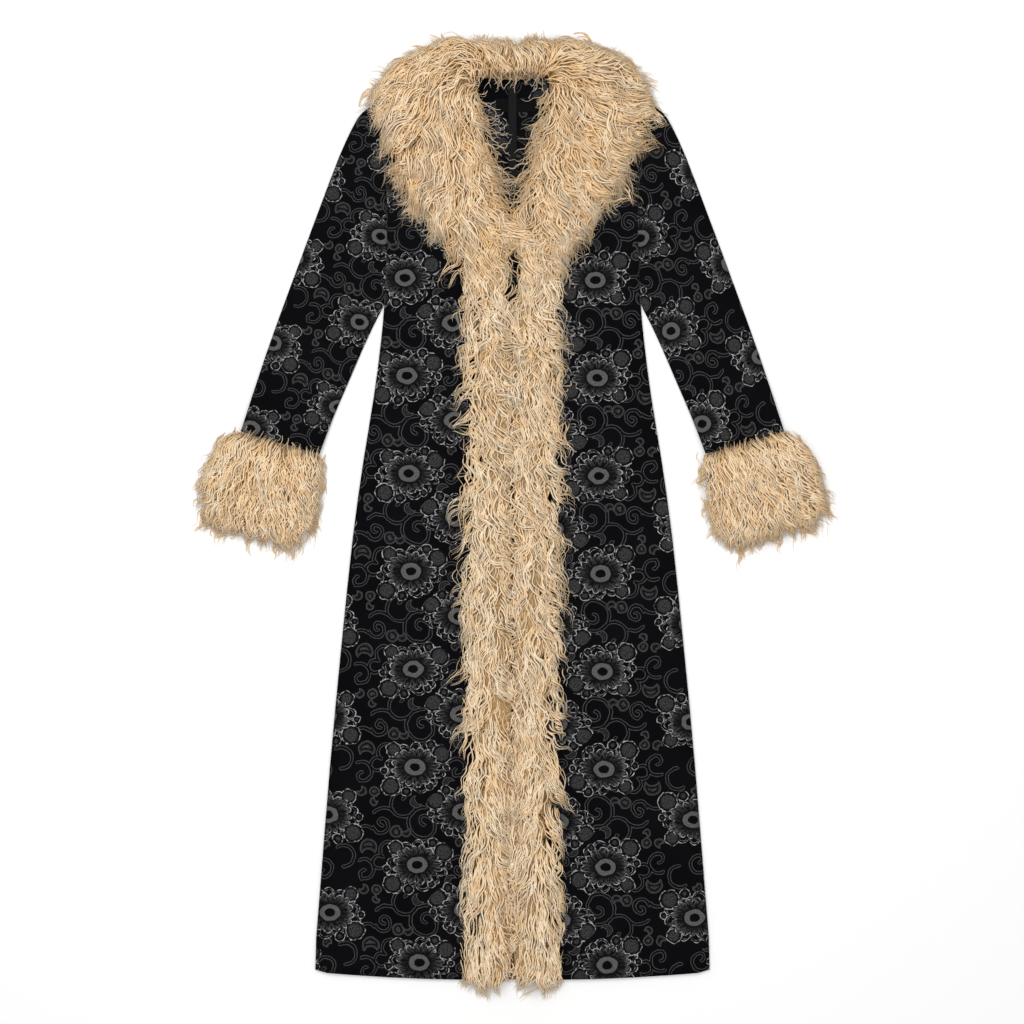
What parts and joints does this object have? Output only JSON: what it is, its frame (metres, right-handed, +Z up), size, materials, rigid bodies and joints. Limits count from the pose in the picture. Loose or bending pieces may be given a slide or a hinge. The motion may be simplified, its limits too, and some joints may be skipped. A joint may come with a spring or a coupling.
{
  "type": "afghan coat",
  "caption": "Ankle-length flared coat laid flat, open at the front, with a shaggy fur shawl collar, fur bands down both fronts and wide fur cuffs.",
  "frame": {"origin": "on the floor at the middle of the laid coat's footprint: halfway between the two cuffs' outer edges, and halfway between the collar's top and the lowest tip of the fur bands", "axes": "+Z up out of the floor, from the back to the front of the coat; +Y from hem to collar; +X towards the wearer's left"},
  "size_m": [0.9464, 1.44, 0.0607],
  "materials": {
    "printed_velvet": "black velvet with a fine grey line print of daisies, buds and scrolls",
    "curly_fur": "long curly cream and tan fur in wavy pointed locks",
    "label_satin": "black satin, bare",
    "seam_twill": "charcoal twill tape"
  },
  "bodies": {
    "root": {"back_left": "printed_velvet", "back_right": "printed_velvet", "front_left": "printed_velvet", "front_right": "printed_velvet", "sleeve_left": "printed_velvet", "sleeve_right": "printed_velvet", "fur_collar_left": "curly_fur", "fur_collar_right": "curly_fur", "fur_collar_fall": "curly_fur", "fur_front_left": "curly_fur", "fur_front_right": "curly_fur", "fur_cuff_left": "curly_fur", "fur_cuff_right": "curly_fur", "neck_label": "label_satin", "back_seam_tape": "seam_twill"}
  },
  "joints": []
}
